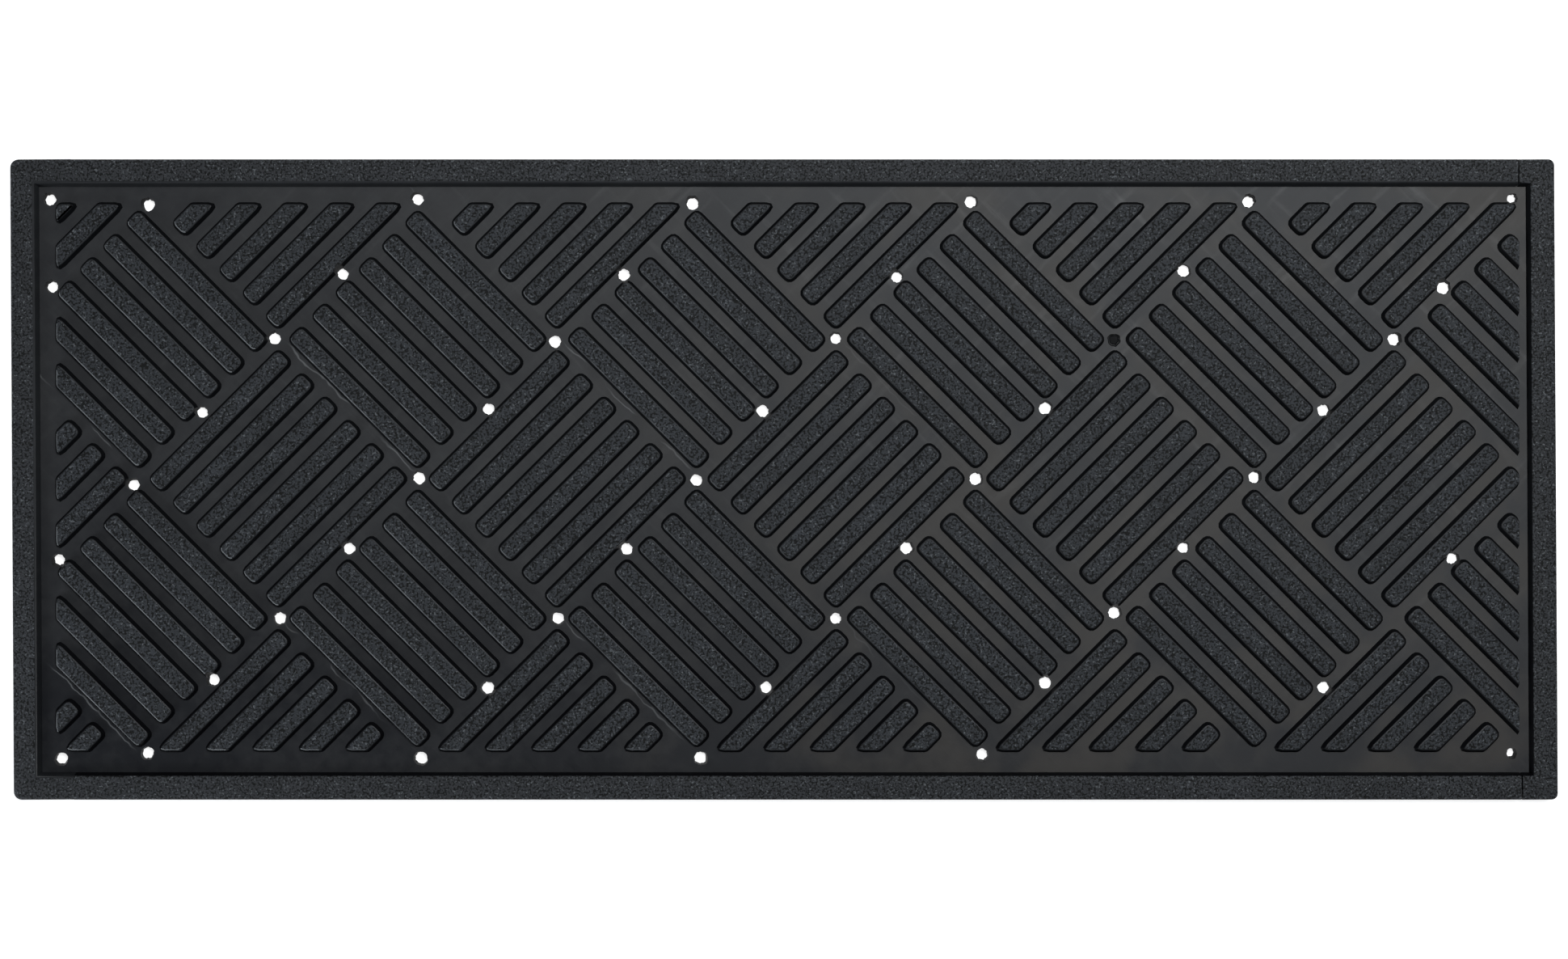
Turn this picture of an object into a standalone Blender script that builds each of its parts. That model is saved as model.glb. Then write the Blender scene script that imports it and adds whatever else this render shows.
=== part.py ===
"""A rubber door mat: a backing sheet with a raised lip round it, and a parquet of tread blocks inside.

Metres, +Z up. The origin is on the floor, under the middle of the mat. +X runs along the mat, and
the front edge, the one nearest the person who looks at it, is at -Y.
"""

import math

import bpy
import bmesh

# The mat as a whole
MAT_LENGTH = 0.750
MAT_WIDTH = 0.311
JOINT_GAP = 0.0003

# The lip: a cap over the sheet's edge, with an outer leg that stands on the floor
LIP_WIDTH = 0.013
LIP_LEG = 0.004
LIP_RISE = 0.0042
LIP_CHAMFER = 0.0012
LIP_CORNER_RADIUS = 0.004
LIP_CORNER_SEGMENTS = 3
RETURN_LEFT = 0.0295
RETURN_RIGHT = 0.0175

# The backing sheet and its feet
FLOOR_THICKNESS = 0.002
FOOT_HEIGHT = 0.0012
FOOT_DIAMETER = 0.008
FOOT_SIDES = 8

# The tread: blocks of bars, each on a thin web, in a pocket of the sheet
BARS_PER_BLOCK = 6
BAR_PITCH = 0.016
BAR_WIDTH = 0.0096
BAR_HEIGHT = 0.003
BAR_CORNER_RADIUS = 0.003
BAR_CORNER_SEGMENTS = 2
WEB_THICKNESS = 0.0008
WEB_EDGE = 0.0005
PATTERN_SHIFT = -0.0425
MIDDLE_ROW = 3
MIDDLE_COLUMN = 3
MARGIN_LEFT = 0.0077
MARGIN_RIGHT = 0.0047
MARGIN_FRONT = 0.0103
MARGIN_BACK = 0.0081
SMALLEST_TRIM = 0.005

# The drain holes. The end ones slide along their block's side, to clear the lip. They are punched by
# hand, and the strays missed their places by this much. A half step is the middle of a block's side
HOLE_DIAMETER = 0.0052
HOLE_SIDES = 8
HOLE_FROM_LIP = 0.0036
END_HOLE_SLIDE = {1: 0.0126, -1: 0.0073}
UNPUNCHED_NODES = {(3, 1), (5, -1), (4, -2)}
STRAY_HOLES = {
    (-4, 2): (0.0024, -0.0016),
    (-4, 0): (-0.0034, -0.0032),
    (-4, -2): (0.0034, 0.0022),
    (-3.5, 0.5): (-0.0040, -0.0020),
    (-3.5, -1.5): (0.0022, 0.0038),
    (-3, 1): (-0.0026, 0.0000),
    (-2.5, 1.5): (-0.0030, -0.0025),
    (-2, -2): (0.0015, 0.0000),
    (-1, 1): (-0.0015, -0.0006),
    (-0.5, 1.5): (-0.0017, -0.0020),
    (0, 2): (-0.0022, -0.0020),
    (0, -2): (0.0017, 0.0000),
    (0.5, 0.5): (-0.0020, -0.0008),
    (1.5, 1.5): (-0.0045, -0.0036),
    (2, 2): (-0.0023, -0.0009),
    (2, -2): (0.0032, 0.0019),
    (2.5, -1.5): (0.0000, 0.0022),
    (3, -1): (-0.0006, 0.0024),
    (4, 2): (-0.0026, -0.0014),
}
# Each corner hole: the end and the edge it is near, and how far it is from the foot of each lip
CORNER_HOLES = (
    (-1, 1, 0.0042, 0.0062),
    (1, 1, 0.0067, 0.0055),
    (-1, -1, 0.0092, 0.0070),
    (1, -1, 0.0079, 0.0098),
)

# Worked out from the sizes above
HALF_LENGTH = MAT_LENGTH / 2
HALF_WIDTH = MAT_WIDTH / 2
BLOCK_SIDE = BARS_PER_BLOCK * BAR_PITCH
HALF_DIAGONAL = BLOCK_SIDE / math.sqrt(2)
BAR_LENGTH = BLOCK_SIDE - (BAR_PITCH - BAR_WIDTH)
POCKET_FLOOR_Z = FOOT_HEIGHT + FLOOR_THICKNESS
WEB_BOTTOM_Z = POCKET_FLOOR_Z + JOINT_GAP
TRAY_Z = WEB_BOTTOM_Z + WEB_THICKNESS
BAR_TOP_Z = TRAY_Z + BAR_HEIGHT
LIP_TOP_Z = TRAY_Z + LIP_RISE
TRAY_HALF_LENGTH = HALF_LENGTH - LIP_WIDTH
TRAY_HALF_WIDTH = HALF_WIDTH - LIP_WIDTH
SHEET_HALF_LENGTH = HALF_LENGTH - LIP_LEG - JOINT_GAP
SHEET_HALF_WIDTH = HALF_WIDTH - LIP_LEG - JOINT_GAP
CUTTER_REACH = 0.005

# The rectangle that the bars are trimmed to: its lowest and its highest corner
FIELD = (
    (-TRAY_HALF_LENGTH + MARGIN_LEFT, -TRAY_HALF_WIDTH + MARGIN_FRONT),
    (TRAY_HALF_LENGTH - MARGIN_RIGHT, TRAY_HALF_WIDTH - MARGIN_BACK),
)

RUBBER = (0.032, 0.035, 0.038, 1.0)
GRAINED_RUBBER = (0.028, 0.033, 0.037, 1.0)


def clear_scene():
    for old in list(bpy.data.objects):
        bpy.data.objects.remove(old, do_unlink=True)


def material(name, colour, roughness):
    made = bpy.data.materials.new(name)
    made.use_nodes = True
    shader = made.node_tree.nodes["Principled BSDF"]
    shader.inputs["Base Color"].default_value = colour
    shader.inputs["Roughness"].default_value = roughness
    shader.inputs["Metallic"].default_value = 0.0
    return made


# ---------------------------------------------------------------- outlines


def grown(box, amount):
    low, high = box
    return (
        (low[0] - amount, low[1] - amount),
        (high[0] + amount, high[1] + amount),
    )


def centred_box(half_x, half_y):
    return ((-half_x, -half_y), (half_x, half_y))


def rectangle(box):
    low, high = box
    return [(low[0], low[1]), (high[0], low[1]), (high[0], high[1]), (low[0], high[1])]


def arc(centre, radius, start, end, segments):
    points = []
    for step in range(segments + 1):
        angle = math.radians(start + (end - start) * step / segments)
        points.append((centre[0] + radius * math.cos(angle), centre[1] + radius * math.sin(angle)))
    return points


def circle(centre, diameter, sides):
    turn = 180.0 / sides
    return arc(centre, diameter / 2, turn, 360.0 - turn, sides - 1)


def rounded_bar():
    """A bar's outline about the origin, its length along X."""
    x = BAR_LENGTH / 2 - BAR_CORNER_RADIUS
    y = BAR_WIDTH / 2 - BAR_CORNER_RADIUS
    points = []
    for centre, start in (((x, -y), -90), ((x, y), 0), ((-x, y), 90), ((-x, -y), 180)):
        points += arc(centre, BAR_CORNER_RADIUS, start, start + 90, BAR_CORNER_SEGMENTS)
    return points


def turned(points, degrees, centre):
    angle = math.radians(degrees)
    c, s = math.cos(angle), math.sin(angle)
    return [(centre[0] + c * x - s * y, centre[1] + s * x + c * y) for x, y in points]


def trimmed(points, box):
    """A convex outline cut to a rectangle, one side of the rectangle after the other."""
    low, high = box
    sides = ((0, low[0], 1), (0, high[0], -1), (1, low[1], 1), (1, high[1], -1))
    for axis, limit, sign in sides:
        kept = []
        for index, here in enumerate(points):
            before = points[index - 1]
            inside = (here[axis] - limit) * sign >= 0
            was_inside = (before[axis] - limit) * sign >= 0
            if inside != was_inside:
                share = (limit - before[axis]) / (here[axis] - before[axis])
                kept.append(tuple(b + share * (h - b) for b, h in zip(before, here)))
            if inside:
                kept.append(here)
        points = kept
    return points


def big_enough(points):
    if len(points) < 3:
        return False
    spans = [max(values) - min(values) for values in zip(*points)]
    return min(spans) > SMALLEST_TRIM


# ------------------------------------------------------------------ solids


def add_prism(mesh, points, low_z, high_z):
    """Adds an outline, counter-clockwise from above, as a closed prism."""
    add_loft(mesh, [(points, low_z), (points, high_z)])


def add_loft(mesh, levels):
    """Adds a closed solid through outlines with the same number of points, lowest first."""
    rings = []
    for points, z in levels:
        rings.append([mesh.verts.new((x, y, z)) for x, y in points])
    mesh.faces.new(list(reversed(rings[0])))
    mesh.faces.new(rings[-1])
    for lower, upper in zip(rings, rings[1:]):
        count = len(lower)
        for index in range(count):
            following = (index + 1) % count
            mesh.faces.new((lower[index], lower[following], upper[following], upper[index]))


def solid(name, mesh, finish=None):
    """Makes an object of a bmesh. Without a finish it is a cutter or a helper, and stays out."""
    data = bpy.data.meshes.new(name)
    mesh.to_mesh(data)
    mesh.free()
    made = bpy.data.objects.new(name, data)
    bpy.context.scene.collection.objects.link(made)
    if finish:
        data.materials.append(finish)
    else:
        made.hide_render = True
        made.display_type = "WIRE"
    return made


def combine(target, other, operation):
    step = target.modifiers.new(other.name, "BOOLEAN")
    step.operation = operation
    step.solver = "EXACT"
    step.object = other


# ------------------------------------------------------------- the pattern


def lattice(i, j):
    """A point of the lattice that the blocks' centres and corners share."""
    return (PATTERN_SHIFT + i * HALF_DIAGONAL, j * HALF_DIAGONAL)


def lattice_range():
    i_most = math.ceil((HALF_LENGTH + abs(PATTERN_SHIFT)) / HALF_DIAGONAL) + 1
    j_most = math.ceil(HALF_WIDTH / HALF_DIAGONAL) + 1
    for j in range(-j_most, j_most + 1):
        for i in range(-i_most, i_most + 1):
            yield i, j


def inside(point, box):
    low, high = box
    return low[0] < point[0] < high[0] and low[1] < point[1] < high[1]


def web_outline(i, j):
    reach = (BLOCK_SIDE - JOINT_GAP) / math.sqrt(2)
    x, y = lattice(i, j)
    diamond = [(x, y - reach), (x + reach, y), (x, y + reach), (x - reach, y)]
    return trimmed(diamond, grown(FIELD, WEB_EDGE))


def block_places():
    """The lattice places of the blocks that reach into the field."""
    return [(i, j) for i, j in lattice_range() if (i + j) % 2 and big_enough(web_outline(i, j))]


def block_name(i, j):
    """A block is named by its row and column on the lattice, so a longer mat renames none."""
    return f"tread_block_{j + MIDDLE_ROW}_{(i + 1) // 2 + MIDDLE_COLUMN}"


def punched(i, j):
    """Where the hole meant for a lattice point, or for the middle of a block's side, really is."""
    x, y = lattice(i, j)
    stray_x, stray_y = STRAY_HOLES.get((i, j), (0.0, 0.0))
    return (x + stray_x, y + stray_y)


def drain_holes():
    """The centres of the drain holes: block corners, ends of the falling bars, tray corners."""
    found = []
    for i, j in lattice_range():
        if (i + j) % 2 == 0 and (i, j) not in UNPUNCHED_NODES:
            found.append(punched(i, j))
    columns = {}
    for i, j in block_places():
        if j % 2:
            columns.setdefault(j, []).append(i)
    for j, across in columns.items():
        for i in across:
            x, y = punched(i - 0.5, j + 0.5)
            at_end = i in (min(across), max(across))
            slide = END_HOLE_SLIDE.get(j, 0.0) / math.sqrt(2) if at_end else 0.0
            found.append((x - slide, y - slide))
            found.append(punched(i + 0.5, j - 0.5))
    for end, edge, from_end, from_edge in CORNER_HOLES:
        found.append((end * (TRAY_HALF_LENGTH - from_end), edge * (TRAY_HALF_WIDTH - from_edge)))
    room = centred_box(TRAY_HALF_LENGTH - HOLE_FROM_LIP, TRAY_HALF_WIDTH - HOLE_FROM_LIP)
    return [point for point in found if inside(point, room)]


def foot_places():
    """Two feet under each block, to the left and right of its centre, where the sheet has room."""
    room = centred_box(SHEET_HALF_LENGTH - FOOT_DIAMETER, SHEET_HALF_WIDTH - FOOT_DIAMETER)
    for i, j in block_places():
        x, y = lattice(i, j)
        for side in (-1, 1):
            point = (x + side * HALF_DIAGONAL / 2, y)
            if inside(point, room):
                yield point


# -------------------------------------------------------------- the pieces


def end_lip_outline(return_length, inset):
    """The right-hand lip from above: the end, both corners and two short returns."""
    x, y = HALF_LENGTH - inset, HALF_WIDTH - inset
    inner_x, inner_y = TRAY_HALF_LENGTH + inset, TRAY_HALF_WIDTH + inset
    seam_x = HALF_LENGTH - return_length + JOINT_GAP / 2
    corner_x, corner_y = HALF_LENGTH - LIP_CORNER_RADIUS, HALF_WIDTH - LIP_CORNER_RADIUS
    radius = LIP_CORNER_RADIUS - inset
    front_corner = arc((corner_x, -corner_y), radius, -90, 0, LIP_CORNER_SEGMENTS)
    back_corner = arc((corner_x, corner_y), radius, 0, 90, LIP_CORNER_SEGMENTS)
    outside = [(seam_x, -y)] + front_corner + back_corner + [(seam_x, y)]
    return outside + [(seam_x, inner_y), (inner_x, inner_y), (inner_x, -inner_y), (seam_x, -inner_y)]


def long_lip_outline(inset):
    """The front lip from above, between the two ends' returns."""
    left = -HALF_LENGTH + RETURN_LEFT + JOINT_GAP / 2
    right = HALF_LENGTH - RETURN_RIGHT - JOINT_GAP / 2
    return rectangle(((left, -HALF_WIDTH + inset), (right, -TRAY_HALF_WIDTH - inset)))


def lip(name, outline_at, sheet_space, finish):
    """A lip standing on the floor, its top edges chamfered, cut out to sit over the sheet."""
    mesh = bmesh.new()
    full = outline_at(0.0)
    add_loft(mesh, [(full, 0.0), (full, LIP_TOP_Z - LIP_CHAMFER), (outline_at(LIP_CHAMFER), LIP_TOP_Z)])
    made = solid(name, mesh, finish)
    combine(made, sheet_space, "DIFFERENCE")


def half_turn(points):
    return [(-x, -y) for x, y in points]


def mirrored_in_y(points):
    return [(x, -y) for x, y in reversed(points)]


def make_lips():
    finish = material("lip_rubber", GRAINED_RUBBER, 0.6)
    mesh = bmesh.new()
    space = centred_box(SHEET_HALF_LENGTH + JOINT_GAP, SHEET_HALF_WIDTH + JOINT_GAP)
    add_prism(mesh, rectangle(space), -CUTTER_REACH, TRAY_Z + JOINT_GAP)
    sheet_space = solid("sheet_space", mesh)
    lip("border_right", lambda inset: end_lip_outline(RETURN_RIGHT, inset), sheet_space, finish)
    lip("border_left", lambda inset: half_turn(end_lip_outline(RETURN_LEFT, inset)), sheet_space, finish)
    lip("border_front", long_lip_outline, sheet_space, finish)
    lip("border_back", lambda inset: mirrored_in_y(long_lip_outline(inset)), sheet_space, finish)


def make_base_sheet(holes):
    mesh = bmesh.new()
    edge = rectangle(centred_box(SHEET_HALF_LENGTH, SHEET_HALF_WIDTH))
    add_prism(mesh, edge, FOOT_HEIGHT, TRAY_Z)
    sheet = solid("base_sheet", mesh, material("sheet_rubber", RUBBER, 0.5))

    mesh = bmesh.new()
    pocket = rectangle(grown(FIELD, WEB_EDGE + JOINT_GAP))
    add_prism(mesh, pocket, POCKET_FLOOR_Z, TRAY_Z + CUTTER_REACH)
    combine(sheet, solid("pocket_space", mesh), "DIFFERENCE")

    mesh = bmesh.new()
    for place in foot_places():
        outline = circle(place, FOOT_DIAMETER, FOOT_SIDES)
        add_prism(mesh, outline, 0.0, FOOT_HEIGHT + FLOOR_THICKNESS / 2)
    combine(sheet, solid("feet", mesh), "UNION")

    mesh = bmesh.new()
    for place in holes:
        add_prism(mesh, circle(place, HOLE_DIAMETER, HOLE_SIDES), -CUTTER_REACH, TRAY_Z + CUTTER_REACH)
    combine(sheet, solid("drain_cutters", mesh), "DIFFERENCE")


def bars_of_block(i, j):
    """The outlines of a block's bars, trimmed to the field. They fall to the right where j is odd."""
    centre = lattice(i, j)
    degrees = -45 if j % 2 else 45
    outlines = []
    for number in range(BARS_PER_BLOCK):
        across = (number - (BARS_PER_BLOCK - 1) / 2) * BAR_PITCH
        bar = [(x, y + across) for x, y in rounded_bar()]
        bar = trimmed(turned(bar, degrees, centre), FIELD)
        if big_enough(bar):
            outlines.append(bar)
    return outlines


def make_tread_block(name, i, j, notches, finish):
    mesh = bmesh.new()
    add_prism(mesh, web_outline(i, j), WEB_BOTTOM_Z, TRAY_Z)
    block = solid(name, mesh, finish)
    outlines = bars_of_block(i, j)
    if outlines:
        mesh = bmesh.new()
        for outline in outlines:
            add_prism(mesh, outline, WEB_BOTTOM_Z + WEB_THICKNESS / 2, BAR_TOP_Z)
        combine(block, solid("bars_of_" + name, mesh), "UNION")
    combine(block, notches, "DIFFERENCE")


def make_tread(holes):
    finish = material("tread_rubber", GRAINED_RUBBER, 0.6)
    mesh = bmesh.new()
    for place in holes:
        outline = circle(place, HOLE_DIAMETER + 2 * JOINT_GAP, HOLE_SIDES)
        add_prism(mesh, outline, WEB_BOTTOM_Z - CUTTER_REACH, BAR_TOP_Z + CUTTER_REACH)
    notches = solid("drain_notches", mesh)
    for i, j in block_places():
        make_tread_block(block_name(i, j), i, j, notches, finish)


def build():
    clear_scene()
    holes = drain_holes()
    make_base_sheet(holes)
    make_lips()
    make_tread(holes)


build()
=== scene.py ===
# %% [markdown]
# # A rubber door mat
# The mat is black rubber: a smooth sheet with drain holes and small feet, a raised lip round it, and
# a parquet of scraper bars inside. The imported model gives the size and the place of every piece.
# This lesson builds the same pieces again, with the roundings, the sloped walls, the punched holes
# and the grained and smooth finishes that plain solids don't have.

import math
import random

import bmesh
import bpy
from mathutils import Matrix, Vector


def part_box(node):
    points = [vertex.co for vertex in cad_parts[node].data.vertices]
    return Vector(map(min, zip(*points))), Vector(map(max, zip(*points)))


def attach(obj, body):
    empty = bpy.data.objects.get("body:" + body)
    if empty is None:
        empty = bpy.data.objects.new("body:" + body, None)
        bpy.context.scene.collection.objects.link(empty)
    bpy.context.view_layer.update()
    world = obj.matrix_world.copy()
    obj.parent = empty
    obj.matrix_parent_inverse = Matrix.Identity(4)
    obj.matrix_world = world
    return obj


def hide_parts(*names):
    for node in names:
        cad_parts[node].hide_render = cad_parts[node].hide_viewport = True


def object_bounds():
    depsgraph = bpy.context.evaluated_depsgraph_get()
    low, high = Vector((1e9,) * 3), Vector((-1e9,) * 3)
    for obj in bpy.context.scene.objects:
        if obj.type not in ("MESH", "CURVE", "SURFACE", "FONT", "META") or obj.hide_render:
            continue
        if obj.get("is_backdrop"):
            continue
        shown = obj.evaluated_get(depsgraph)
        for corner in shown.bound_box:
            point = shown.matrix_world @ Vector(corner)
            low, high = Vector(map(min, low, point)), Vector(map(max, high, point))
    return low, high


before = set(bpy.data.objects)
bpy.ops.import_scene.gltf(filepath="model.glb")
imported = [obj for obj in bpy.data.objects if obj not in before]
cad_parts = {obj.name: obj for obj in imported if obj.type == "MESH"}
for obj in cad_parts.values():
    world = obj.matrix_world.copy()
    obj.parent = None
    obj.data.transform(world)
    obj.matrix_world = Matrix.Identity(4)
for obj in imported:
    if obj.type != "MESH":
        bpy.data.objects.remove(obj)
cad_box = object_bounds()
bpy.ops.object.select_all(action="DESELECT")
print("the mat is", [round(1000 * side, 1) for side in cad_box[1] - cad_box[0]], "mm")

# %% [markdown]
# ## Sizes
# Nothing is measured twice. The lip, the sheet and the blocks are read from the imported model, and
# the sizes that it doesn't show, such as a rounding, are named where they are first used. Lengths
# are in metres. Two points or heights count as the same when they differ by less than a hair.

# %% Read the sizes from the model
mat_low, mat_high = cad_box
sheet_low, sheet_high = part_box("base_sheet")
front_low, front_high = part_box("border_front")
FLOOR_Z = mat_low.z
LIP_TOP_Z = mat_high.z
TRAY_Z = sheet_high.z
LIP_WIDTH = front_high.y - front_low.y
TRAY_LOW = Vector((mat_low.x + LIP_WIDTH, mat_low.y + LIP_WIDTH))
TRAY_HIGH = Vector((mat_high.x - LIP_WIDTH, mat_high.y - LIP_WIDTH))
LEFT_SEAM = (front_low.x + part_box("border_left")[1].x) / 2
RIGHT_SEAM = (front_high.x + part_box("border_right")[0].x) / 2

MILLIMETRE = 0.001
SAME_PLACE = 1e-6
SAME_HEIGHT = 1e-5
WEB_THICKNESS = 0.8 * MILLIMETRE
WEB_EDGE = 0.5 * MILLIMETRE
POCKET_DEPTH = 1.1 * MILLIMETRE
FOOT_HEIGHT = 1.2 * MILLIMETRE
print(f"lip {1000 * LIP_WIDTH:.1f} mm wide, its top {1000 * LIP_TOP_Z:.1f} mm up")
print(f"tray {1000 * TRAY_Z:.1f} mm up")

# %% [markdown]
# ## The lattice of the parquet
# The blocks are squares that stand on their corners, so their centres and their corners share one
# square lattice. A block's name says its row and column, and from those comes its place on the
# lattice. Two whole blocks of the middle row give the lattice's origin and its pitch.

# %% Find the lattice and the field
MIDDLE_ROW = 3
MIDDLE_COLUMN = 3


def lattice_place(node):
    """The lattice place of a block, from its name."""
    row, column = (int(word) for word in node.split("_")[-2:])
    j = row - MIDDLE_ROW
    return 2 * (column - MIDDLE_COLUMN) - (1 - j % 2), j


BLOCK_NODES = sorted(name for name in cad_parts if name.startswith("tread_block"))
left_block = sum(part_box(f"tread_block_{MIDDLE_ROW}_{MIDDLE_COLUMN}"), Vector()) / 2
right_block = sum(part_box(f"tread_block_{MIDDLE_ROW}_{MIDDLE_COLUMN + 1}"), Vector()) / 2
HALF_DIAGONAL = (right_block.x - left_block.x) / 2
BLOCK_SIDE = HALF_DIAGONAL * math.sqrt(2)
LATTICE_ORIGIN = Vector((left_block.x + HALF_DIAGONAL, left_block.y))
BAR_TOP_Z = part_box(f"tread_block_{MIDDLE_ROW}_{MIDDLE_COLUMN}")[1].z

boxes = [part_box(name) for name in BLOCK_NODES]
FIELD_LOW = Vector((min(low.x for low, high in boxes), min(low.y for low, high in boxes)))
FIELD_HIGH = Vector((max(high.x for low, high in boxes), max(high.y for low, high in boxes)))


def lattice(i, j):
    return LATTICE_ORIGIN + HALF_DIAGONAL * Vector((i, j))


print(len(BLOCK_NODES), "blocks, lattice pitch", round(1000 * HALF_DIAGONAL, 2), "mm")

# %% [markdown]
# ## Helpers for modelling
# Every piece starts as a primitive at its size and place, and is then shaped in edit mode. A shape
# is chosen by a test on its place or its normal, because there is no mouse to click it with.


# %% Edit mode helpers
SHARPEST_SMOOTH = math.radians(40)


def choose(kind, test):
    """In edit mode, selects the vertices, edges or faces that pass a test."""
    bpy.ops.mesh.select_mode(type=kind)
    bpy.ops.mesh.select_all(action="DESELECT")
    mesh = bmesh.from_edit_mesh(bpy.context.object.data)
    for part in {"VERT": mesh.verts, "EDGE": mesh.edges, "FACE": mesh.faces}[kind]:
        if test(part):
            part.select_set(True)
    mesh.select_flush_mode()
    bmesh.update_edit_mesh(bpy.context.object.data)


def select_only(*pieces):
    """Selects these pieces and nothing else, and makes the first one active."""
    bpy.ops.object.select_all(action="DESELECT")
    for piece in pieces:
        piece.select_set(True)
    bpy.context.view_layer.objects.active = pieces[0]


def start_edit(piece):
    """Opens one piece in edit mode."""
    select_only(piece)
    bpy.ops.object.mode_set(mode="EDIT")


def end_edit():
    bpy.ops.object.mode_set(mode="OBJECT")


def settle(piece):
    """Puts a piece's place, turn and size into its mesh."""
    select_only(piece)
    bpy.ops.object.transform_apply(location=True, rotation=True, scale=True)
    return piece


def box_piece(name, low, high, turn=0.0):
    """A cube primitive that fills a box, turned about its own middle."""
    low, high = Vector(low), Vector(high)
    bpy.ops.object.select_all(action="DESELECT")
    bpy.ops.mesh.primitive_cube_add(
        size=1, location=(low + high) / 2, rotation=(0, 0, turn), scale=high - low
    )
    bpy.context.object.name = name
    return settle(bpy.context.object)


def upward(face):
    return face.normal.z > 0.99


def downward(face):
    return face.normal.z < -0.99


def standing(edge):
    """True for an edge that runs straight up."""
    run = edge.verts[1].co - edge.verts[0].co
    return run.to_2d().length < SAME_PLACE and abs(run.z) > SAME_PLACE


def climb(profile):
    """In edit mode, insets the chosen face again and again, each ring further in and further up."""
    for inwards, upwards in profile:
        bpy.ops.mesh.inset(thickness=inwards, depth=upwards, use_even_offset=True)


def turn_outwards():
    """In edit mode, makes every face of a closed shape face outwards."""
    bpy.ops.mesh.select_all(action="SELECT")
    bpy.ops.mesh.normals_make_consistent(inside=False)


def copy_of(piece, name, shift=(0, 0, 0)):
    """A copy with a mesh of its own, moved in its mesh."""
    select_only(piece)
    bpy.ops.object.duplicate()
    made = bpy.context.object
    made.name = name
    made.location = Vector(shift)
    return settle(made)


def joined(pieces, name):
    """Several objects made one, without a Boolean."""
    select_only(*pieces)
    if len(pieces) > 1:
        bpy.ops.object.join()
    bpy.context.object.name = name
    return bpy.context.object


def combine(piece, other, operation):
    """Cuts another shape out of a piece, or adds it, and applies the modifier."""
    bpy.context.view_layer.objects.active = piece
    step = piece.modifiers.new(operation, "BOOLEAN")
    step.operation = operation
    step.solver = "MANIFOLD"
    step.object = other
    bpy.ops.object.modifier_apply(modifier=step.name)


def cut_off(low, high, fill=True):
    """In edit mode, cuts a shape down to the rectangle from low to high."""
    sides = (
        (Vector((low.x, 0, 0)), Vector((-1, 0, 0))),
        (Vector((high.x, 0, 0)), Vector((1, 0, 0))),
        (Vector((0, low.y, 0)), Vector((0, -1, 0))),
        (Vector((0, high.y, 0)), Vector((0, 1, 0))),
    )
    for point, outwards in sides:
        mesh = bmesh.from_edit_mesh(bpy.context.object.data)
        reach = [(vertex.co - point).dot(outwards) for vertex in mesh.verts]
        if not reach or max(reach) < SAME_PLACE:
            continue
        bpy.ops.mesh.select_all(action="SELECT")
        bpy.ops.mesh.bisect(
            plane_co=point,
            plane_no=outwards,
            use_fill=fill,
            clear_outer=True,
            threshold=SAME_PLACE,
        )


def inside(point, low, high, room):
    """True for a point that is at least so far inside the rectangle from low to high."""
    return all(low[axis] + room < point[axis] < high[axis] - room for axis in (0, 1))


def dress(piece, finishes, pick):
    """Gives a piece its finishes, and each face the one whose number pick returns."""
    piece.data.materials.clear()
    for finish in finishes:
        piece.data.materials.append(finish)
    for face in piece.data.polygons:
        face.material_index = pick(face)


def smooth(piece):
    """Smooth shading, except where two faces meet at a clear edge."""
    select_only(piece)
    bpy.ops.object.shade_smooth_by_angle(angle=SHARPEST_SMOOTH)


# %% [markdown]
# ## Shader helpers
# A finish is a small network of nodes. Its maths reads better as Python, so a class wraps a socket
# and turns + - * / into Math nodes. One method makes every other kind of node.


# %% A socket that can be calculated with
class Signal:
    """A node's output. Sums on it add Math nodes to the same material."""

    def __init__(self, finish, socket):
        self.finish = finish
        self.socket = socket

    def maths(self, operation, *values, clamp=False):
        settings = {"operation": operation, "use_clamp": clamp}
        return self.finish.node("ShaderNodeMath", settings, dict(enumerate(values)))

    def __add__(self, other):
        return self.maths("ADD", self, other)

    __radd__ = __add__

    def __sub__(self, other):
        return self.maths("SUBTRACT", self, other)

    def __rsub__(self, other):
        return self.maths("SUBTRACT", other, self)

    def __mul__(self, other):
        return self.maths("MULTIPLY", self, other)

    __rmul__ = __mul__

    def __truediv__(self, other):
        return self.maths("DIVIDE", self, other)

    def clamped(self):
        return self.maths("ADD", self, 0.0, clamp=True)

    def rounded(self):
        return self.maths("ROUND", self)

    def size(self):
        return self.maths("ABSOLUTE", self)

    def ramp(self, low, high):
        """0 up to low, 1 from high, and an even rise between them."""
        settings = {"clamp": True, "interpolation_type": "SMOOTHSTEP"}
        return self.finish.node("ShaderNodeMapRange", settings, {0: self, 1: low, 2: high})


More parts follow.
